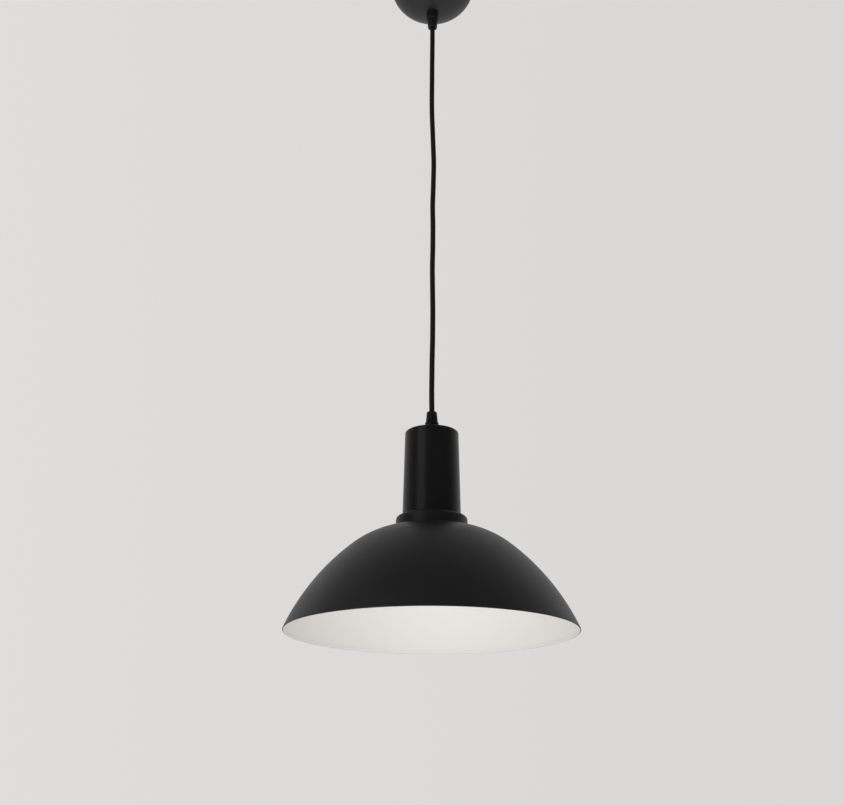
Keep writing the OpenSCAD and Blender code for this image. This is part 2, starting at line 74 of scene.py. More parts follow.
# Heights that the pieces share, from the frame
z_pole = foot("canopy")
z_nose = foot("canopy_grip_cap")
z_low_nose = top("cup_grip_cap")
z_cup_top = top("cup")
z_cup_foot = top("collar")
z_crown = top("shade")
z_rim = foot("shade")
z_skirt_foot = foot("holder_skirt")
z_skirt_top = top("holder_skirt")
z_lamp_tip = top("lamp_contact")
z_sheath_end = foot("cord_tail")

# Pivots of the flex, from the joints
pivots = {j["name"]: j["pos_m"][2] / MM for j in frame["joints"] if j["name"].startswith("swing")}
z_side_pivot = pivots["swing_side"]
z_fore_pivot = pivots["swing_fore"]
z_splice = (z_side_pivot + z_fore_pivot) / 2

FLEX_R = 3.4
CORE_R, THIN_CORE_R = 1.1, 0.95

# M10 x 1 tube, its tapped holes and its clearance holes
TUBE_R = 4.95
TUBE_BORE_R = 4.0
TAPPED_R = 5.05
TUBE_HOLE_R = 5.2
TUBE_PITCH = 1.0
WASHER_R = 9

# Spun and pressed sheet of the canopy, cup, collar and shade
SHEET = 0.8
SHADE_HOLE_R = 20.3

# E27 thread
LAMP_PITCH = 3.629
LAMP_ROOT, LAMP_CREST = 12.2, 13.05


# ---- Camera ----

# Distances in metres, turns in degrees and the lens in millimetres
CAMERA_BACK = 1.338
CAMERA_BELOW_RIM = 0.2132
CAMERA_UP, CAMERA_ROLL, CAMERA_TURN = 20.58, -0.26, 0.437
CAMERA_LENS = 48.2


def make_camera():
    """The camera stands in front of the light and looks up at it from below the rim."""
    data = bpy.data.cameras.new("camera")
    data.sensor_width = 36
    data.lens = CAMERA_LENS
    camera = bpy.data.objects.new("camera", data)
    camera.location = (0, -CAMERA_BACK, z_rim * MM - CAMERA_BELOW_RIM)
    camera.rotation_euler = [math.radians(a) for a in (90 + CAMERA_UP, CAMERA_ROLL, CAMERA_TURN)]
    bpy.context.scene.collection.objects.link(camera)
    bpy.context.scene.camera = camera


make_camera()


# ---- Points and outlines ----

def spread(first, last, steps):
    return [first + (last - first) * i / steps for i in range(steps + 1)]


def arc(centre_r, centre_z, radius, start, end, steps=12):
    """Points of an arc between two angles in degrees, measured from straight out."""
    return [
        (centre_r + radius * math.cos(a), centre_z + radius * math.sin(a))
        for a in spread(math.radians(start), math.radians(end), steps)
    ]


def rounded(corners, steps=4):
    """Closed outline through (radius, height, rounding) corners."""
    points = []
    for i, (r, z, size) in enumerate(corners):
        here = Vector((r, z))
        before = Vector(corners[i - 1][:2]) - here
        after = Vector(corners[(i + 1) % len(corners)][:2]) - here
        if size == 0:
            points.append((r, z))
            continue
        reach = size / math.tan(before.angle(after) / 2)
        reach = min(reach, 0.45 * before.length, 0.45 * after.length)
        start = here + before.normalized() * reach
        end = here + after.normalized() * reach
        for t in spread(0, 1, steps):
            point = start * (1 - t) ** 2 + here * (2 * t * (1 - t)) + end * t * t
            points.append((point.x, point.y))
    return points


def smooth_path(points, steps):
    """Catmull-Rom curve through given points."""
    points = [Vector(p) for p in points]
    last = len(points) - 1
    path = []
    for i in range(last):
        p0, p1, p2, p3 = points[max(i - 1, 0)], points[i], points[i + 1], points[min(i + 2, last)]
        for t in spread(0, 1, steps)[:-1]:
            path.append(0.5 * (
                2 * p1 + (p2 - p0) * t + (2 * p0 - 5 * p1 + 4 * p2 - p3) * t ** 2
                + (3 * p1 - p0 - 3 * p2 + p3) * t ** 3))
    return path + [points[last]]


def ridge(phase, flat=0.3):
    """Height of a thread's ridge, which has a flat crest and root. Height and phase go from 0 to 1."""
    slope = (1 - 2 * flat) / 2
    rise = (0.5 - abs(phase - 0.5) - flat / 2) / slope
    rise = min(1.0, max(0.0, rise))
    return rise * rise * (3 - 2 * rise)


def thread(root, crest, pitch, low, high, flat=0.3, gap=0.0, ends=0.0):
    """Radius of a right-hand thread at a height and angle.

    ends is how far up the ridge the thread runs out.
    """
    fade = 0.4 * pitch

    def radius(z, angle):
        height = ridge((z / pitch - angle / (2 * math.pi)) % 1.0, flat)
        inside = min(1.0, max(0.0, min(z - low, high - z) / fade))
        return root + gap + (crest - root) * (ends + (height - ends) * inside)
    return radius


def hexagon(flats, z0, z1, chamfer=0.9, bite=0.15, slope=1.7):
    """Radius of a hexagon nut whose corners are turned off at both ends.

    The chamfer starts a bite inside the flats and widens by its slope.
    """
    sixth = math.pi / 3

    def radius(z, angle):
        side = flats / 2 / math.cos((angle + sixth / 2) % sixth - sixth / 2)
        return min(side, flats / 2 - bite + slope * min(z - z0, z1 - z, chamfer))
    return radius


# ---- Meshes ----

def lathe(outline, sides=96):
    """Closed outline turned about the light's axis.

    A point's radius may be a function of height and angle.
    """
    mesh = bmesh.new()
    rings = []
    for r, z in outline:
        if not callable(r) and r < 1e-6:
            rings.append([mesh.verts.new((0, 0, z * MM))])
            continue
        ring = []
        for k in range(sides):
            angle = 2 * math.pi * k / sides
            reach = (r(z, angle) if callable(r) else r) * MM
            ring.append(mesh.verts.new((reach * math.cos(angle), reach * math.sin(angle), z * MM)))
        rings.append(ring)
    for one, other in zip(rings, rings[1:] + rings[:1]):
        if len(one) == 1 and len(other) == 1:
            continue
        for k in range(sides):
            m = (k + 1) % sides
            near = [one[k % len(one)], one[m % len(one)]]
            corners = near + [other[m % len(other)], other[k % len(other)]]
            mesh.faces.new(list(dict.fromkeys(corners)))
    return mesh


def tube(path, radius, sides=24):
    """Closed tube along a path in millimetres. radius is a function of the point and the angle."""
    mesh = bmesh.new()
    across = Vector((0, 1, 0))
    rings = []
    for i, point in enumerate(path):
        heading = (path[min(i + 1, len(path) - 1)] - path[max(i - 1, 0)]).normalized()
        across = (across - heading * across.dot(heading)).normalized()
        other = heading.cross(across)
        ring = []
        for k in range(sides):
            angle = 2 * math.pi * k / sides
            reach = radius(point, angle)
            at = point + reach * (math.cos(angle) * across + math.sin(angle) * other)
            ring.append(mesh.verts.new(at * MM))
        rings.append(ring)
    for one, other in zip(rings, rings[1:]):
        for k in range(sides):
            m = (k + 1) % sides
            mesh.faces.new((one[k], one[m], other[m], other[k]))
    for ring in (rings[0], rings[-1]):
        mesh.faces.new(ring)
    return mesh


def make_object(name, mesh, materials, sharp=32.0, pick=None):
    """Object from a bmesh, smooth but for the edges sharper than an angle.

    pick gives the number of a face's material.
    """
    bmesh.ops.recalc_face_normals(mesh, faces=mesh.faces[:])
    for face in mesh.faces:
        face.smooth = True
        if pick:
            face.material_index = pick(face)
    for edge in mesh.edges:
        edge.smooth = len(edge.link_faces) == 2 and edge.calc_face_angle(0) < math.radians(sharp)
    data = bpy.data.meshes.new(name)
    mesh.to_mesh(data)
    mesh.free()
    made = bpy.data.objects.new(name, data)
    bpy.context.scene.collection.objects.link(made)
    for material in materials:
        data.materials.append(material)
    return made


def drilled(made, cutter):
    """Cuts a mesh out of an object, for holes that a lathe can't turn."""
    tool = make_object("cutter", cutter, made.data.materials)
    cut = made.modifiers.new("holes", "BOOLEAN")
    cut.object = tool
    cut.solver = "EXACT"
    bpy.context.view_layer.update()
    depsgraph = bpy.context.evaluated_depsgraph_get()
    result = bpy.data.meshes.new_from_object(made.evaluated_get(depsgraph))
    made.modifiers.clear()
    made.data = result
    bpy.data.objects.remove(tool)


def add_piece(name, body, mesh, slot, *nodes, sharp=32.0, materials=None, pick=None):
    """A piece that rides on a body, takes its finish from a slot and stands for CAD nodes."""
    made = make_object(name, mesh, materials or [finishes[slot]], sharp, pick)
    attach(made, body)
    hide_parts(*nodes)
    return made


# ---- Materials ----

def add_node(tree, kind, inputs=None, **settings):
    """A shader node with its settings and inputs; an input is a value or another node's socket."""
    made = tree.nodes.new("ShaderNode" + kind)
    for key, value in settings.items():
        setattr(made, key, value)
    for key, value in (inputs or {}).items():
        if isinstance(value, bpy.types.NodeSocket):
            tree.links.new(value, made.inputs[key])
        else:
            made.inputs[key].default_value = value
    return made


def noise(tree, place, scale, detail=2.0, roughness=0.5):
    inputs = {"Vector": place, "Scale": scale, "Detail": detail, "Roughness": roughness}
    return add_node(tree, "TexNoise", inputs).outputs["Fac"]


def remap(tree, value, low, high, to_low, to_high):
    inputs = {"Value": value, "From Min": low, "From Max": high, "To Min": to_low, "To Max": to_high}
    return add_node(tree, "MapRange", inputs).outputs["Result"]


def mixed(tree, share, one, other):
    """Mix of two colours, each a colour or a socket."""
    return add_node(tree, "Mix", {0: share, 6: one, 7: other}, data_type="RGBA").outputs[2]


def bumped(tree, height, depth, normal=None):
    """Normal after a relief whose full height is depth metres."""
    inputs = {"Height": height, "Distance": depth, "Strength": 1.0}
    if normal:
        inputs["Normal"] = normal
    return add_node(tree, "Bump", inputs).outputs["Normal"]


def edge_mask(tree, radius):
    """1 on edges sharper than the radius and 0 on flat faces, and the softened normal."""
    flat_cosine, edge_cosine = 0.995, 0.86
    soft = add_node(tree, "Bevel", {"Radius": radius}, samples=4).outputs["Normal"]
    true = add_node(tree, "NewGeometry").outputs["Normal"]
    turn = add_node(tree, "VectorMath", {0: soft, 1: true}, operation="DOT_PRODUCT").outputs["Value"]
    return remap(tree, turn, flat_cosine, edge_cosine, 0.0, 1.0), soft


def shade_of(colour, factor):
    """Lighter or darker colour, with its alpha."""
    return (*[min(1.0, c * factor) for c in colour], 1.0)


def turned_rings(tree, place, scale):
    """Fine rings about the light's axis, as spinning and turning leave."""
    flat = add_node(tree, "VectorMath", {0: place, 1: (1, 1, 0.6)}, operation="MULTIPLY").outputs[0]
    reach = add_node(tree, "VectorMath", {0: flat}, operation="LENGTH").outputs["Value"]
    inputs = {"W": reach, "Scale": scale, "Detail": 3.0}
    return add_node(tree, "TexNoise", inputs, noise_dimensions="1D").outputs["Fac"]


def brushed_lines(tree, place, scale):
    """Long fine scratches along one direction of a rolled sheet."""
    along = add_node(tree, "VectorMath", {0: place, 1: (0.03, 1, 1)}, operation="MULTIPLY").outputs[0]
    return noise(tree, along, scale, 4.0)


def drag_marks(tree, place, scale):
    """Faint lengthwise drag marks that extruding leaves on a sheath."""
    along = add_node(tree, "VectorMath", {0: place, 1: (1, 1, 0.04)}, operation="MULTIPLY").outputs[0]
    return noise(tree, along, scale, 3.0)


def make_finish(name, colour, roughness, spread_of=0.08, mottle=0.10, mottle_scale=45.0,
                grain=900.0, grain_depth=8e-6, pattern=None, pattern_scale=1500.0, pattern_depth=6e-6,
                worn=None, worn_roughness=0.35, worn_share=0.5, edge=0.0004, **constants):
    """Finish with mottled colour and roughness, fine grain, an optional pattern and worn edges.

    Depths, and the radius that softens the edges, are in metres. The constants go to the shader.
    """
    material = bpy.data.materials.new(name)
    material.use_nodes = True
    tree = material.node_tree
    shader = tree.nodes["Principled BSDF"]
    for key, value in constants.items():
        shader.inputs[key.replace("_", " ").title().replace("Ior", "IOR")].default_value = value
    place = add_node(tree, "TexCoord").outputs["Object"]

    cloud = noise(tree, place, mottle_scale, 4.0, 0.6)
    fine = noise(tree, place, grain, 3.0, 0.6)
    base = mixed(tree, cloud, shade_of(colour, 1 - mottle), shade_of(colour, 1 + mottle))
    rough = remap(tree, cloud, 0.3, 0.7, roughness - spread_of, roughness + spread_of)

    mask, soft = edge_mask(tree, edge)
    normal = bumped(tree, fine, grain_depth, soft)
    if pattern:
        normal = bumped(tree, pattern(tree, place, pattern_scale), pattern_depth, normal)
    if worn:
        scuffs = remap(tree, noise(tree, place, 260.0, 5.0, 0.7), 0.42, 0.62, 0.0, worn_share)
        share = add_node(tree, "Math", {0: mask, 1: scuffs}, operation="MULTIPLY").outputs[0]
        base = mixed(tree, share, base, (*worn, 1.0))
        rough = add_node(
            tree, "Mix", {0: share, 2: rough, 3: worn_roughness}, data_type="FLOAT").outputs[0]
    tree.links.new(base, shader.inputs["Base Color"])
    tree.links.new(rough, shader.inputs["Roughness"])
    tree.links.new(normal, shader.inputs["Normal"])
    return material


BLACK = (0.0165, 0.0165, 0.0178)

finishes = {
    "black_powder": make_finish(
        "black_powder", BLACK, 0.4, spread_of=0.03, mottle=0.10, mottle_scale=18.0,
        grain=1500.0, grain_depth=1.2e-5, pattern=turned_rings, pattern_scale=420.0, pattern_depth=4e-6,
        worn=(0.05, 0.05, 0.052), worn_roughness=0.38, worn_share=0.6, specular_ior_level=0.42),
    "satin_black": make_finish(
        "satin_black", (0.0068, 0.0068, 0.0076), 0.3, spread_of=0.04, mottle=0.12, mottle_scale=26.0,
        grain=1100.0, grain_depth=7e-6, pattern=turned_rings, pattern_scale=600.0, pattern_depth=5e-6,
        worn=(0.06, 0.06, 0.062), worn_roughness=0.3, worn_share=0.6, specular_ior_level=0.33),
    "black_screw": make_finish(
        "black_screw", (0.02, 0.02, 0.022), 0.4, metallic=0.6, worn=(0.22, 0.22, 0.23), edge=0.0003),
    "zinc_steel": make_finish(
        "zinc_steel", (0.56, 0.57, 0.6), 0.34, metallic=1.0, mottle=0.14, mottle_scale=160.0,
        pattern=brushed_lines, worn=(0.7, 0.71, 0.74), edge=0.0003),
    "brass": make_finish(
        "brass", (0.72, 0.5, 0.2), 0.3, metallic=1.0, mottle=0.12, mottle_scale=120.0,
        pattern=turned_rings, worn=(0.86, 0.66, 0.34), worn_roughness=0.2, edge=0.0003),
    "spring_bronze": make_finish(
        "spring_bronze", (0.62, 0.38, 0.19), 0.32, metallic=1.0, pattern=brushed_lines,
        worn=(0.78, 0.55, 0.32), edge=0.0002),
    "solder": make_finish(
        "solder", (0.5, 0.5, 0.5), 0.45, metallic=1.0, mottle=0.2, mottle_scale=500.0,
        grain=1400.0, grain_depth=4e-5),
    "nickel_cap": make_finish(
        "nickel_cap", (0.66, 0.64, 0.6), 0.26, metallic=1.0, mottle_scale=140.0,
        pattern=turned_rings, worn=(0.78, 0.76, 0.72), worn_roughness=0.18),
    "black_nylon": make_finish(
        "black_nylon", (0.006, 0.006, 0.0066), 0.46, spread_of=0.06, grain=1700.0, grain_depth=1e-5,
        worn=(0.03, 0.03, 0.031), worn_roughness=0.3, specular_ior_level=0.3),
    "natural_nylon": make_finish(
        "natural_nylon", (0.74, 0.71, 0.62), 0.42, mottle=0.05, grain_depth=1.2e-5,
        worn=(0.8, 0.78, 0.7), subsurface_weight=0.15, subsurface_scale=0.002),
    "black_flex": make_finish(
        "black_flex", (0.0065, 0.0065, 0.0074), 0.44, spread_of=0.06, grain=1300.0, grain_depth=1.4e-5,
        pattern=drag_marks, pattern_scale=1300.0, pattern_depth=1e-5, specular_ior_level=0.32),
    "black_resin": make_finish(
        "black_resin", (0.018, 0.017, 0.017), 0.36, spread_of=0.06, mottle=0.15,
        worn=(0.05, 0.048, 0.046), worn_roughness=0.28),
    "brown_core": make_finish(
        "brown_core", (0.14, 0.052, 0.018), 0.38, pattern=drag_marks, subsurface_weight=0.05),
    "blue_core": make_finish(
        "blue_core", (0.02, 0.1, 0.42), 0.38, pattern=drag_marks, subsurface_weight=0.05),
    "porcelain": make_finish(
        "porcelain", (0.8, 0.78, 0.73), 0.16, spread_of=0.04, mottle=0.03, mottle_scale=300.0,
        grain_depth=5e-6, subsurface_weight=0.1, subsurface_scale=0.003, coat_weight=0.5),
    "black_glass": make_finish(
        "black_glass", (0.01, 0.01, 0.014), 0.1, spread_of=0.04, grain_depth=4e-6, coat_weight=0.6),
}


def make_earth_core():
    """Green insulation with yellow stripes along it."""
    material = make_finish(
        "earth_core", (0.05, 0.22, 0.05), 0.38, pattern=drag_marks, subsurface_weight=0.05)
    tree = material.node_tree
    shader = tree.nodes["Principled BSDF"]
    place = add_node(tree, "TexCoord").outputs["Object"]
    stripes = add_node(
        tree, "TexWave", {"Vector": place, "Scale": 260.0, "Distortion": 0.6, "Detail": 1.0},
        bands_direction="DIAGONAL").outputs["Fac"]
    share = remap(tree, stripes, 0.52, 0.6, 0.0, 1.0)
    green = shader.inputs["Base Color"].links[0].from_socket
    tree.links.new(mixed(tree, share, green, (0.72, 0.6, 0.06, 1.0)), shader.inputs["Base Color"])
    return material


finishes["earth_core"] = make_earth_core()

# The matt white enamel inside the shade has no slot of its own: it is the shade's second material
white_inside = make_finish(
    "white_inside", (0.8, 0.79, 0.775), 0.55, spread_of=0.05, mottle=0.015, mottle_scale=14.0,
    grain=1300.0, grain_depth=2.5e-6, pattern=turned_rings, pattern_scale=360.0, pattern_depth=1.5e-6,
    edge=0.00005)

# The collar is the cup's satin black, in a copy a little greyer than the cup's: painted light, as the collar
# catches more light than the cup
collar_black = make_finish(
    "collar_black", (0.0125, 0.0125, 0.0138), 0.42, spread_of=0.04, mottle=0.1, mottle_scale=22.0,
    grain=1300.0, grain_depth=9e-6, pattern=turned_rings, pattern_scale=500.0, pattern_depth=4e-6,
    worn=(0.055, 0.055, 0.057), worn_roughness=0.34, worn_share=0.6, specular_ior_level=0.42)

finishes["opal_glass"] = make_finish(
    "opal_glass", (0.88, 0.87, 0.84), 0.2, spread_of=0.04, mottle=0.015, mottle_scale=20.0,
    grain=240.0, grain_depth=6e-6, subsurface_weight=0.4, subsurface_scale=0.01, coat_weight=0.4,
    emission_color=(1.0, 0.9, 0.8, 1.0), emission_strength=0.32)

floor_finish = make_finish(
    "floor_finish", (0.66, 0.65, 0.64), 0.6, mottle=0.02, mottle_scale=1.2, grain=30.0, grain_depth=2e-4,
    emission_color=(1.0, 0.985, 0.97, 1.0), emission_strength=0.36)


# ---- Flex ----

# Twist of the cores, which shows through the sheath
CORES = 3
LAY_LENGTH = 135
SWELL = 0.05
# How far above the upper grip's nose the upper piece of the hanging flex starts
GRIPPED = 24


def flex_radius(point, angle):
    """The sheath shows the slow twist of its cores as a shallow swell."""
    twist = CORES * (angle + 2 * math.pi * point.z / LAY_LENGTH)
    return FLEX_R - SWELL * (0.5 - 0.5 * math.cos(twist))


def taut_line(high, low, steps):
    return [Vector((0, 0, z)) for z in spread(high, low, steps)]


# The hanging flex, as the CAD routes it: taut, with a slight set in it
FLEX_ROUTE = [
    (-0.3, 0, -135), (-0.5, 0, -175), (-0.6, 0, -215), (0.6, 0, -255), (2, 0, -300),
    (1.6, 0, -335), (0.7, 0, -370), (1.1, 0, -405), (0.9, 0, -435), (0.4, 0, -470),
    (1, 0, -520), (0.9, 0, -560), (0.2, 0, -600), (-0.2, 0, -640)]


def add_flex():
    """The hanging flex is two pieces, one for each pivot; the held ends are pieces of their own."""
    grip_end = z_nose + GRIPPED
    upper_path = taut_line(grip_end, z_splice, 42)
    upper = make_object("flex_upper", tube(upper_path, flex_radius), [finishes["black_flex"]])
    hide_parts("cord_bend", "cord_head")
    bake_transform(upper)

    route = [(0, 0, z_splice), (0, 0, z_fore_pivot), *FLEX_ROUTE, (0, 0, z_low_nose)]
    lower_path = smooth_path(route, 16)
    lower = make_object("flex_lower", tube(lower_path, flex_radius), [finishes["black_flex"]])
    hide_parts("cord")
    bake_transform(lower)

    add_piece(
        "flex_head", "ceiling_fitting", tube(taut_line(top("cord_head"), grip_end, 24), flex_radius),
        "black_flex")
    add_piece(
        "flex_tail", "pendant", tube(taut_line(z_low_nose, z_sheath_end, 60), flex_radius),
        "black_flex", "cord_tail")


add_flex()


# ---- Cores of the flex ----

def add_core(name, body, slot, points, radius):
    add_piece(name, body, tube(smooth_path(points, 10), lambda point, angle: radius, 16), slot, name)


UPPER_CORES = {
    "upper_live_wire": ("brown_core", [
        (-1.6, 0, -33.7), (-1.6, 0, -32), (-1.8, -0.5, -28), (-4, -2, -20), (-6, 1, -12),
        (-5.5, 7, -9), (-5.5, 14.5, -9)]),
    "upper_neutral_wire": ("blue_core", [
        (1.6, 0, -33.7), (1.6, 0, -32), (1.8, -0.5, -28), (4, -2, -20), (6, 1, -12),
        (5.5, 7, -9), (5.5, 14.5, -9)]),
    "upper_earth_wire": ("earth_core", [
        (0, -1.7, -33.7), (0, -1.7, -32), (0.5, -3.5, -27), (4, -8, -19), (10, -11, -12),
        (15, -9.5, -8), (17.5, -6.8, -6.6)]),
}
for core, (core_slot, core_points) in UPPER_CORES.items():
    add_core(core, "ceiling_fitting", core_slot, core_points, CORE_R)


# Height of the lampholder's terminals above the foot of the cup
TERMINAL_RISE = 23


def add_lower_cores():
    """Two cores fall to the terminals and the earth goes to its screw in the holder's cap."""
    z = z_sheath_end
    terminal_z = z_cup_foot + TERMINAL_RISE
    for s, name, slot in (
            (-1, "lower_live_wire", "brown_core"), (1, "lower_neutral_wire", "blue_core")):
        points = [
            (1.5 * s, -0.4, z - 0.3), (1.5 * s, -0.4, z - 1.2), (2.2 * s, -1.6, z - 2.7),
            (5.5 * s, -5.4, z - 5.5), (8.6 * s, -7.6, z - 9.5), (9 * s, -6, terminal_z),
            (9 * s, -2.6, terminal_z)]
        add_core(name, "pendant", slot, points, THIN_CORE_R)
    add_core("lower_earth_wire", "pendant", "earth_core", [
        (0, 1.6, z - 0.3), (0, 1.6, z - 1.2), (0, 3.2, z - 3.2), (0, 8, z - 6.5),
        (0, 13, terminal_z + 2.6), (0, 17, terminal_z + 2)], THIN_CORE_R)


add_lower_cores()


# ---- Shade ----

# Thickness and height of the edge folded back inside
HEM, HEM_HEIGHT = 1.4, 5
# Radii of the wall's two arcs, and its lean from upright at the rim and where they meet
FLANK, SHOULDER = 267, 111.5
LEAN, SHOULDER_LEAN = 23.8, 51


def shade_outline():
    """Two arcs make the wall. Its foot is folded back inside, and enamel fills the fold's step."""
    hem_lean = LEAN + math.degrees(HEM_HEIGHT / FLANK)
    hem_r, hem_z = half_width("shade") - HEM / 2, z_rim + HEM / 2
    flank_r = hem_r - (FLANK - HEM / 2) * math.cos(math.radians(LEAN))
    flank_z = z_crown - SHOULDER - (FLANK - SHOULDER) * math.sin(math.radians(SHOULDER_LEAN))
    shoulder_r = flank_r + (FLANK - SHOULDER) * math.cos(math.radians(SHOULDER_LEAN))

    def wall(inset, start):
        flank = arc(flank_r, flank_z, FLANK - inset, start, SHOULDER_LEAN, 72)
        shoulder = arc(shoulder_r, z_crown - SHOULDER, SHOULDER - inset, SHOULDER_LEAN, 90, 56)
        return flank + shoulder[1:]

    fold = []
    for t in spread(0, 1, 10)[1:]:
        inset = SHEET + (HEM - SHEET) * t * t * (3 - 2 * t)
        angle = hem_lean + (LEAN - hem_lean) * t
        fold.append(arc(flank_r, flank_z, FLANK - inset, angle, angle, 1)[0])
    hole = [(SHADE_HOLE_R, z_crown), (SHADE_HOLE_R, z_crown - SHEET)]
    edge = arc(hem_r, hem_z, HEM / 2, LEAN - 170, LEAN - 10, 16)
    return [*hole, *wall(SHEET, hem_lean)[::-1], *fold, *edge, *wall(0, LEAN)]


def add_shade():
    """The inside is white down to the rounded edge, which is black like the outside."""
    def side(face):
        middle = face.calc_center_median() / MM
        reach = math.hypot(middle.x, middle.y)
        inwards = -(face.normal.x * middle.x + face.normal.y * middle.y) / reach
        return int(inwards > 0.5 or (face.normal.z < -0.1 and middle.z > z_rim + HEM))

    add_piece(
        "shade", "pendant", lathe(shade_outline(), 288), "black_powder", "shade", sharp=40.0,
        materials=[finishes["black_powder"], white_inside], pick=side)


add_shade()


# ---- Canopy, cup and collar ----

CANOPY_LIP = 2
# How far the canopy stands out past the ears of its bracket, and the flat seat round its nipple
EAR_GAP = 4.7
SEAT_R = 9
# Height of the side screws and the radius of their holes
SCREW_Z = -9
SCREW_HOLE_R = 2.2

# The cup's radius at its top, and the roundings of the cup and collar
CUP_TOP_R = 33.4
CUP_EDGE = 2.5
COLLAR_EDGE = 4.5


def bowl(radius, depth, z0, steps=40):
    """Quarter ellipse that hangs below z0 and stops at the flat seat round the nipple."""
    end = math.acos(SEAT_R / radius)
    return [
        (radius * math.cos(a), z0 - depth * math.sin(a)) for a in spread(0, end, steps)]


def add_canopy():
    """A spun dome with a straight lip at the ceiling and a hole for each side screw."""
    radius = half_width("ceiling_bracket") + EAR_GAP
    depth = (-z_pole - CANOPY_LIP) / math.sin(math.acos(SEAT_R / radius))
    outline = [
        (radius - SHEET, 0), (radius - 0.25, 0), (radius, -0.25),
        *bowl(radius, depth, -CANOPY_LIP), (TUBE_HOLE_R, z_pole), (TUBE_HOLE_R, z_pole + SHEET),
        *bowl(radius - SHEET, depth - SHEET, -CANOPY_LIP)[::-1]]
    canopy = add_piece(
        "canopy", "ceiling_fitting", lathe(outline, 192), "black_powder", "canopy", sharp=40.0)
    path = [Vector((x, 0, SCREW_Z)) for x in (-radius - 5, radius + 5)]
    drill = tube(path, lambda point, angle: SCREW_HOLE_R, 32)
    drilled(canopy, drill)


def add_cup():
    """A tapered cup with a rounded closed top, open at the foot."""
    r_foot = half_width("cup")
    r_edge, z_edge = CUP_TOP_R - CUP_EDGE, z_cup_top - CUP_EDGE
    outline = [
        (r_foot - SHEET, z_cup_foot + 0.25), (r_foot - SHEET + 0.2, z_cup_foot + 0.05),
        (r_foot - 0.2, z_cup_foot + 0.05), (r_foot, z_cup_foot + 0.25),
        *arc(r_edge, z_edge, CUP_EDGE, 1, 90, 14),
        (TUBE_HOLE_R, z_cup_top), (TUBE_HOLE_R, z_cup_top - SHEET),
        *arc(r_edge, z_edge, CUP_EDGE - SHEET, 1, 90, 14)[::-1]]
    add_piece("cup", "pendant", lathe(outline, 192), "satin_black", "cup", sharp=40.0)


def add_collar():
    """A pressed ring that covers the crown of the shade."""
    radius = half_width("collar")
    r_edge, z_edge = radius - COLLAR_EDGE, z_cup_foot - COLLAR_EDGE
    z_foot = foot("collar")
    outline = [
        (radius - SHEET, z_foot + 0.2), (radius - SHEET + 0.2, z_foot),
        (radius - 0.2, z_foot), (radius, z_foot + 0.2),
        *arc(r_edge, z_edge, COLLAR_EDGE, 0, 90, 16),
        (SHADE_HOLE_R, z_cup_foot), (SHADE_HOLE_R, z_cup_foot - SHEET),
        *arc(r_edge, z_edge, COLLAR_EDGE - SHEET, 0, 90, 16)[::-1]]
    # The collar takes the lighter copy of the satin black, which paints light on it
    add_piece(
        "collar", "pendant", lathe(outline, 192), "satin_black", "collar", sharp=40.0,
        materials=[collar_black])


add_canopy()
add_cup()
add_collar()


# ---- Cord grips ----

GRIP_H = 27
GRIP_BASE_H = 13


def grip_base_outline():
    """Base of a grip, from its seat at 0 up to the spigot that the cap screws onto."""
    r, h = 8.6, GRIP_BASE_H
    return rounded([
        (TAPPED_R, 0, 0.3), (r, 0, 0.6), (r, 2.6, 0.15), (r - 0.18, 2.8, 0.1), (r - 0.18, 3.2, 0.1),
        (r, 3.4, 0.15), (r, h, 0.8), (5.4, h, 0), (5.4, h + 7, 0.4), (4.25, h + 7, 0),
        (4.25, h - 1.5, 0), (FLEX_R + 0.3, h - 1.5, 0), (FLEX_R + 0.3, 9.5, 0), (TAPPED_R, 9.5, 0)], 6)


def fluted(radius, low, high, count=20, width=0.45, depth=0.3):
    """Radius of a cap with shallow grip flutes round it, between two heights."""
    def at(height, angle):
        turn = (angle * count / (2 * math.pi) + 0.5) % 1.0 - 0.5
        across = turn * 2 * math.pi * radius / count / width
        ends = min(1.0, max(0.0, min(height - low, high - height) / 0.5))
        return radius - depth * ends * max(0.0, 1 - across * across)
    return at


def grip_cap_outline():
    """Clamping cap, which tapers to a rounded nose round the flex."""
    z0 = GRIP_BASE_H + 0.1
    r0, nose_r, nose_round = 7.5, 6.5, 1.0
    low, high = z0 + 1.0, z0 + 6.0
    wall = []
    for height in spread(low - 0.2, high + 0.2, 16):
        share = (height - z0 - 0.3) / (GRIP_H - nose_round - z0 - 0.3)
        wall.append((fluted(r0 - (r0 - nose_r) * share, low, high), height))
    return [
        (5.55, z0), (r0 - 0.3, z0), (r0 - 0.08, z0 + 0.08), (r0, z0 + 0.3), *wall,
        *arc(nose_r - nose_round, GRIP_H - nose_round, nose_round, 3, 90, 12),
        (FLEX_R + 0.25, GRIP_H), (FLEX_R + 0.05, GRIP_H - 0.3), (FLEX_R + 0.05, GRIP_H - 2),
        (4.35, GRIP_H - 5.5), (5.55, GRIP_H - 6.2)]


def stood(outline, z0, up):
    """Outline moved to its seat at z0, upright for up 1 and hung upside down for up -1."""
    def place(r):
        return (lambda z, angle: r((z - z0) * up, angle)) if callable(r) else r
    return [(place(r), z0 + up * z) for r, z in outline]


for owner, grip_body, grip_z, up in (
        ("canopy", "ceiling_fitting", z_pole, -1), ("cup", "pendant", z_cup_top, 1)):
    for part, part_outline, sides in (
            ("base", grip_base_outline(), 96), ("cap", grip_cap_outline(), 240)):
        part_name = f"{owner}_grip_{part}"
        part_mesh = lathe(stood(part_outline, grip_z, up), sides)
        add_piece(part_name, grip_body, part_mesh, "black_nylon", part_name)


# ---- Threaded tubes, nuts and washers ----

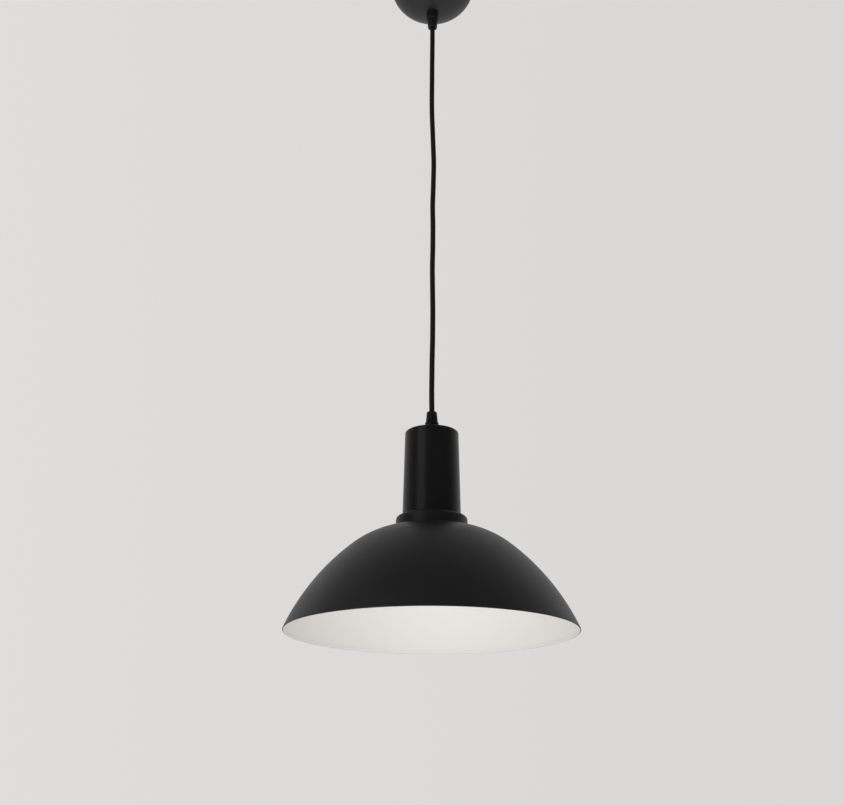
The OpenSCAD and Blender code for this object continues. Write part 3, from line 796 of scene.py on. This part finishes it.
def threaded_tube(z0, z1, sides=40):
    """Hollow M10 x 1 tube with a cut thread and a chamfer at each end."""
    cut = thread(TUBE_R - 0.5, TUBE_R, TUBE_PITCH, z0 + 0.3, z1 - 0.3, flat=0.16)
    heights = spread(z0 + 0.2, z1 - 0.2, round((z1 - z0) * 6))
    return lathe(
        [(TUBE_BORE_R, z0), (TUBE_R - 0.6, z0), *[(cut, z) for z in heights],
         (TUBE_R - 0.6, z1), (TUBE_BORE_R, z1)], sides)


def hex_nut(z0, z1):
    side = hexagon(14, z0, z1)
    heights = [*spread(z0, z0 + 0.9, 6), *spread(z1 - 0.9, z1, 6)]
    return lathe(
        [(TAPPED_R + 0.4, z0), *[(side, z) for z in heights], (TAPPED_R + 0.4, z1),
         (TAPPED_R, z1 - 0.4), (TAPPED_R, z0 + 0.4)], 120)


def washer(z0, z1):
    return lathe(rounded([
        (TUBE_HOLE_R, z0, 0.08), (WASHER_R, z0, 0.2), (WASHER_R, z1, 0.3),
        (TUBE_HOLE_R, z1, 0.08)]), 96)


for node, node_body in (("canopy_nipple", "ceiling_fitting"), ("lamp_tube", "pendant")):
    add_piece(node, node_body, threaded_tube(foot(node), top(node)), "zinc_steel", node)
for owner, node_body in (("canopy", "ceiling_fitting"), ("cup", "pendant")):
    for kind, shape in (("nut", hex_nut), ("washer", washer)):
        node = f"{owner}_{kind}"
        add_piece(node, node_body, shape(foot(node), top(node)), "zinc_steel", node)


# ---- Lampholder ----

SKIRT_ROOT, SKIRT_CREST, SKIRT_PITCH = 19.0, 19.7, 2.5


def add_holder_skirt():
    """Skirt with the thread that the shade ring runs on, and a flange that sits in the cup."""
    z0, z1 = z_skirt_foot, z_cup_foot
    cut = thread(SKIRT_ROOT, SKIRT_CREST, SKIRT_PITCH, z0 + 0.4, z1 - 0.4)
    outline = [
        (14.8, z0 + 0.3), (15.1, z0), (SKIRT_ROOT - 0.3, z0), (SKIRT_ROOT, z0 + 0.3),
        *[(cut, z) for z in spread(z0 + 0.4, z1 - 0.4, 96)], (SKIRT_ROOT, z1 + 0.05),
        *rounded([(21.5, z1 + 0.05, 0.3), (21.5, z1 + 3, 0.3), (SKIRT_ROOT, z1 + 3, 0)])[:-1],
        (SKIRT_ROOT, z1 + 3), (SKIRT_ROOT, z_skirt_top), (17.4, z_skirt_top), (17.4, z0 + 1.6),
        (14.8, z0 + 1.6)]
    add_piece("holder_skirt", "pendant", lathe(outline, 128), "black_resin", "holder_skirt")


def add_shade_ring():
    """Ring with finger notches that clamps the shade up against the collar."""
    z1 = top("shade_ring")
    z0 = foot("shade_ring")
    hub, notch_r, notch_at = 23.5, 1.6, 24.4
    step = 2 * math.pi / 12

    def notched(z, angle):
        turn = (angle + step / 2) % step - step / 2
        across = notch_at * math.sin(turn)
        worn = hub - max(0.0, (z0 + 0.6 - z))
        if abs(across) >= notch_r:
            return worn
        return min(worn, notch_at * math.cos(turn) - math.sqrt(notch_r ** 2 - across ** 2))

    bore = thread(SKIRT_ROOT, SKIRT_CREST, SKIRT_PITCH, z0 + 0.3, z1 - 0.3, gap=0.15, ends=1.0)
    outline = [
        (SKIRT_CREST + 0.15, z1), (26.7, z1), (27, z1 - 0.3), (27, z1 - 2.1), (26.7, z1 - 2.45),
        (hub + 0.3, z1 - 2.95), (notched, z1 - 3.0),
        *[(notched, z) for z in spread(z0 + 0.6, z0, 4)],
        *[(bore, z) for z in spread(z0 + 0.05, z1 - 0.05, 36)]]
    add_piece("shade_ring", "pendant", lathe(outline, 240), "black_resin", "shade_ring")


def add_screw_shell():
    """Pressed brass shell: one sheet, formed with the lamp's thread from end to end."""
    z0, z1 = foot("screw_shell"), top("screw_shell")
    low, high = z0 + 0.8, z1 - 1.4
    inside = thread(LAMP_ROOT, LAMP_CREST, LAMP_PITCH, low, high, flat=0.1, gap=0.3, ends=1.0)
    wall = 0.5
    heights = spread(z0 + 0.3, z1 - 1.2, 60)
    outline = [
        *[(inside, z) for z in heights], (13.0, z1 - 0.7), (12.6, z1 - wall), (8, z1 - wall), (8, z1),
        (12.9, z1), (13.6, z1 - 0.7),
        *[(lambda z, angle: inside(z, angle) + wall, z) for z in heights[::-1]],
        (13.85, z0), (13.35, z0)]
    add_piece("screw_shell", "pendant", lathe(outline, 96), "brass", "screw_shell")


add_holder_skirt()
add_shade_ring()
add_screw_shell()


# ---- Lamp ----

def add_lamp_cap():
    """Threaded cap with a crimped rim, open below for the glass."""
    z0, z1 = foot("lamp_cap"), top("lamp_cap")
    cut = thread(LAMP_ROOT, LAMP_CREST, LAMP_PITCH, z0 + 1.3, z1 - 1.9, flat=0.1)
    wall = 0.4
    outline = [
        (12.3, z0), (12.95, z0), (13.2, z0 + 0.25), (13.2, z0 + 0.8), (12.6, z0 + 1.2),
        *[(cut, z) for z in spread(z0 + 1.3, z1 - 1.8, 72)], (12.0, z1 - 1.4), (10.6, z1 - 0.05),
        (10.4, z1), (9, z1), (9, z1 - wall), (10.3, z1 - wall), (11.7, z1 - 1.7), (11.75, z0 + 0.2)]
    add_piece("lamp_cap", "lamp", lathe(outline, 120), "nickel_cap", "lamp_cap")


def add_lamp_tip():
    """Black glass insulator and the solder contact on it."""
    z = z_lamp_tip
    add_piece("lamp_insulator", "lamp", lathe([
        (0, z - 4.4), *arc(10.2, z - 4.0, 0.4, -90, 30, 5), (9.6, z - 3.3), (7.4, z - 2.1),
        (5.4, z - 1.35), (5.0, z - 1.25), (0, z - 1.25)], 96), "black_glass", "lamp_insulator")
    add_piece("lamp_contact", "lamp_tip", lathe([
        (0, z - 1.2), (4.2, z - 1.2), *arc(4.2, z - 1.0, 0.2, -90, 60, 5), (3.4, z - 0.35),
        (2.6, z - 0.12), (1.6, z - 0.03), (0, z)], 64), "solder", "lamp_contact")


def add_lamp_globe():
    """Blown glass: a straight neck in the cap flares into a round globe."""
    r = half_width("lamp_globe")
    centre = foot("lamp_globe") + r
    z_neck = top("lamp_globe")
    neck_r, wall, turn = 13.0, 0.9, 38
    flare = Vector((r * math.cos(math.radians(turn)), centre + r * math.sin(math.radians(turn))))
    pull = Vector((-math.sin(math.radians(turn)), math.cos(math.radians(turn)))) * 6

    def neck(inset):
        ends = [Vector((neck_r, z_neck)), Vector((neck_r, z_neck - 9)), flare + pull, flare]
        points = []
        for u in spread(0, 1, 28)[:-1]:
            v = 1 - u
            p = v ** 3 * ends[0] + 3 * v * v * u * ends[1] + 3 * v * u * u * ends[2] + u ** 3 * ends[3]
            points.append((p.x - inset, p.y - inset * u * 0.3))
        return points

    outline = [
        (0, z_neck), (neck_r - 0.6, z_neck), *neck(0)[1:], *arc(0, centre, r, turn, -89.2, 60),
        (0, centre - r), (0, centre - r + wall), *arc(0, centre, r - wall, turn, -89.2, 60)[::-1],
        *neck(wall)[3:][::-1], (0, z_neck - 1.5)]
    add_piece("lamp_globe", "lamp", lathe(outline, 160), "opal_glass", "lamp_globe")


add_lamp_cap()
add_lamp_tip()
add_lamp_globe()


# ---- Pieces that stay as the CAD has them, with their finishes ----

def dress_cad_nodes():
    """Each CAD node that no piece replaces takes the finish of its packed material."""
    slots = {m["slot"] for m in frame["record"]["materials"]}
    for name, node in frame["nodes"].items():
        if node.hide_render:
            continue
        packed = node.data.materials[0].name.split(".")[0]
        slot = packed if packed in slots else "black_resin"
        node.data.materials.clear()
        node.data.materials.append(finishes[slot])


dress_cad_nodes()


# ---- Floor, light and surroundings ----

FLOOR_Z = -2.45
FLOOR_REACH = 8


def add_floor():
    mesh = bmesh.new()
    bmesh.ops.create_grid(mesh, x_segments=8, y_segments=8, size=FLOOR_REACH)
    floor = make_object("floor", mesh, [floor_finish])
    floor.location.z = FLOOR_Z


def add_softbox(name, place, aim, size, power, colour):
    data = bpy.data.lights.new(name, "AREA")
    data.shape = "RECTANGLE"
    data.size, data.size_y = size
    data.energy = power
    data.color = colour
    box = bpy.data.objects.new(name, data)
    box.location = place
    box.rotation_euler = (Vector(aim) - Vector(place)).to_track_quat("-Z", "Y").to_euler()
    bpy.context.scene.collection.objects.link(box)


def make_world():
    """A pale room, brighter behind the light than in front of it. The backdrop that the camera sees is painted
    lighter on the left than on the right: a painted falloff of light across it.
    """
    world = bpy.data.worlds.new("room")
    bpy.context.scene.world = world
    world.use_nodes = True
    tree = world.node_tree
    place = add_node(tree, "TexCoord").outputs["Generated"]
    parts = add_node(tree, "SeparateXYZ", {0: place}).outputs
    limits = {"From Min": -0.2, "From Max": 0.8, "To Min": 0, "To Max": 1}
    depth = add_node(
        tree, "MapRange", {"Value": parts["Y"], **limits},
        interpolation_type="SMOOTHSTEP").outputs["Result"]
    across = remap(tree, parts["X"], -0.35, 0.35, 0.0, 1.0)
    lighting = mixed(tree, depth, (0.13, 0.13, 0.135, 1), (0.56, 0.55, 0.545, 1))
    # Painted light on the backdrop: lighter on the left, darker on the right
    backdrop_painted_light = mixed(tree, across, (0.742, 0.726, 0.716, 1), (0.694, 0.68, 0.676, 1))
    camera_ray = add_node(tree, "LightPath").outputs["Is Camera Ray"]
    colour = mixed(tree, camera_ray, lighting, backdrop_painted_light)
    tree.links.new(colour, tree.nodes["Background"].inputs["Color"])


add_floor()
make_world()
add_softbox(
    "window", place=(-1.7, -1.7, 0.4), aim=(0, 0, -0.7), size=(1.5, 1.8), power=5,
    colour=(1.0, 0.985, 0.97))
add_softbox(
    "bounce", place=(-0.15, -0.7, -2.35), aim=(0, 0, -0.8), size=(2.8, 2.8), power=37,
    colour=(1.0, 0.98, 0.955))
bpy.context.scene.view_settings.view_transform = "Standard"
